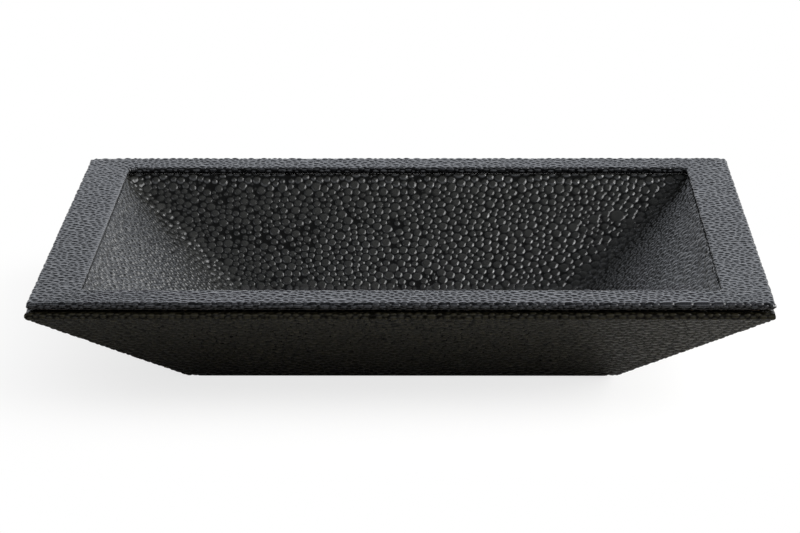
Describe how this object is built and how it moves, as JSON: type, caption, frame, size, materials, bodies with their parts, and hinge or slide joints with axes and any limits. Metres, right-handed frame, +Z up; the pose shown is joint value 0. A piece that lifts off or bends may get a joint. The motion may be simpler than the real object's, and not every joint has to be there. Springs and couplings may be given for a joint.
{
  "type": "trinket dish",
  "caption": "Low rectangular catch-all dish with splayed walls, a leather-lined bowl with softly rounded valleys, a leather-covered casing and a flat overhanging rim above a shadow groove.",
  "frame": {"origin": "middle of the dish's footprint, on the surface that it stands on", "axes": "+X along the dish's length, to the right seen from its front; +Y from front to back; +Z up"},
  "size_m": [0.24, 0.2, 0.04],
  "materials": {
    "casing_leather": "black pebble-grained leather, stretched smooth, satin",
    "lining_leather": "black leather embossed with rounded pebbles, satin",
    "rim_leather": "black leather embossed with rounded pebbles, satin",
    "pad_suede": "black suede-like pad, matt",
    "wall_wood": "sawn and sanded, unfinished",
    "base_plywood": "thin plywood, unfinished",
    "rim_card": "grey bookbinding board, matt"
  },
  "bodies": {
    "root": {"base_pad": "pad_suede", "base_board": "base_plywood", "wall_front": "wall_wood", "wall_right": "wall_wood", "wall_back": "wall_wood", "wall_left": "wall_wood", "corner_fillet_front_left": "wall_wood", "corner_fillet_front_right": "wall_wood", "corner_fillet_back_right": "wall_wood", "corner_fillet_back_left": "wall_wood", "casing_leather_front": "casing_leather", "casing_leather_right": "casing_leather", "casing_leather_back": "casing_leather", "casing_leather_left": "casing_leather", "lining_leather": "lining_leather", "rim_packing": "rim_card", "rim_board": "rim_card", "rim_leather": "rim_leather"}
  },
  "joints": []
}
